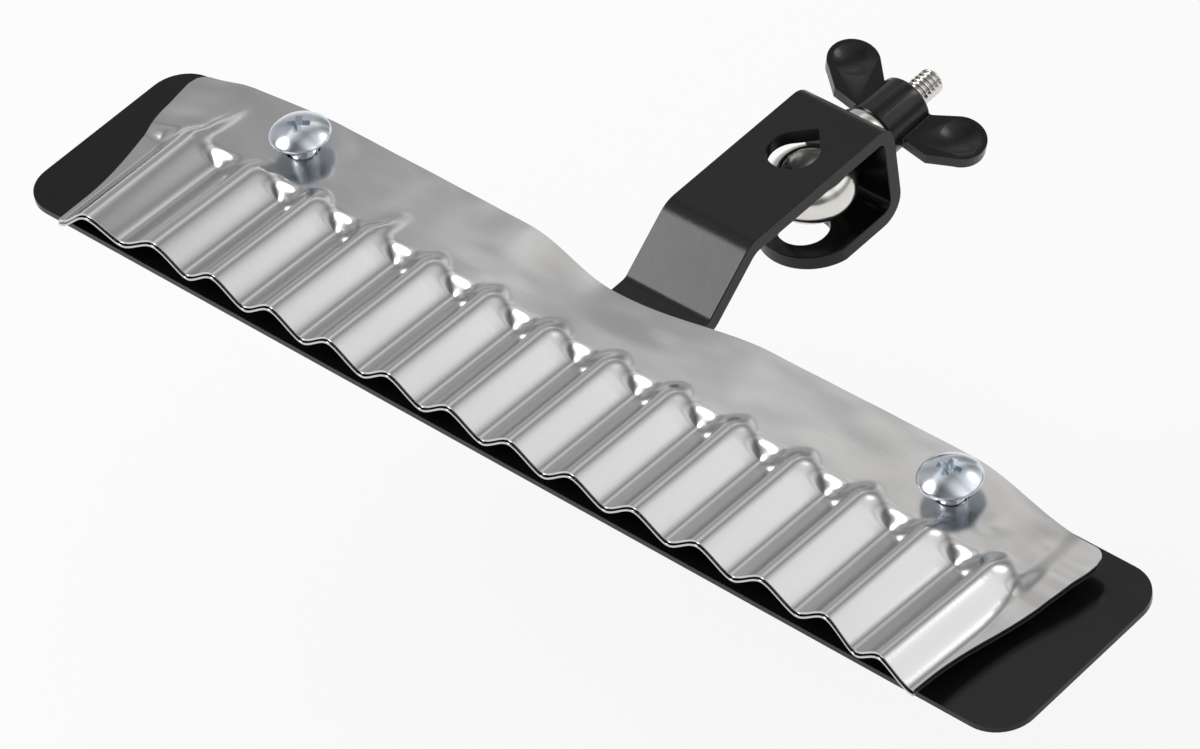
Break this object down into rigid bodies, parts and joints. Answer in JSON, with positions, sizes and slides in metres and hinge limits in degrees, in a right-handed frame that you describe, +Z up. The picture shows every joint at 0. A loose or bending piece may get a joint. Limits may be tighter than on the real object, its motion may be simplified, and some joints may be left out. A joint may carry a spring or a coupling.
{
  "type": "metal guiro",
  "caption": "Metal guiro: nested corrugated steel scraper sheets held loosely by screws on a black plate, with a bent strap and an eye bolt clamp that grips a percussion rod.",
  "frame": {"origin": "centre of the eye bolt's bore, on the axis of the percussion rod, with the clamp drawn to its rest place", "axes": "+X along the plate towards its right end, +Y from the plate towards the wing nut along the bolt, +Z up along the rod"},
  "size_m": [0.285, 0.153, 0.0302],
  "materials": {
    "black_plate": "satin black",
    "black_strap": "satin black",
    "black_nut": "satin black",
    "sheet_steel": "bright, rolled",
    "zinc_screw": "bright zinc",
    "zinc_nut": "dull zinc",
    "bright_plate": "bright nickel"
  },
  "bodies": {
    "base": {"base_plate": "black_plate", "left_sheet_screw": "zinc_screw", "right_sheet_screw": "zinc_screw", "left_lock_washer": "zinc_nut", "right_lock_washer": "zinc_nut", "left_hex_nut": "zinc_nut", "right_hex_nut": "zinc_nut", "mounting_bracket": "black_strap", "left_bracket_rivet": "black_strap", "right_bracket_rivet": "black_strap", "clamp_washer": "bright_plate"},
    "sheets": {"lower_scraper_sheet": "sheet_steel", "upper_scraper_sheet": "sheet_steel"},
    "eye": {"eye_bolt": "bright_plate"},
    "nut": {"wing_nut": "black_nut"}
  },
  "joints": [
    {"name": "sheet_rattle", "type": "slide", "parent": "base", "child": "sheets", "axis": [0, 0, 1], "range_m": [0, 0.0037]},
    {"name": "wing_nut_turn", "type": "hinge", "parent": "base", "child": "nut", "pos_m": [0, 0, 0], "axis": [0, 1, 0], "range_deg": [-280, 1200]},
    {"name": "eye_draw", "type": "slide", "parent": "base", "child": "eye", "axis": [0, 1, 0], "range_m": [-0.0042, 0.00098]}
  ],
  "couplings": [
    {"joint": "wing_nut_turn", "follows": "eye_draw", "rad_per_m": -4947.4}
  ]
}
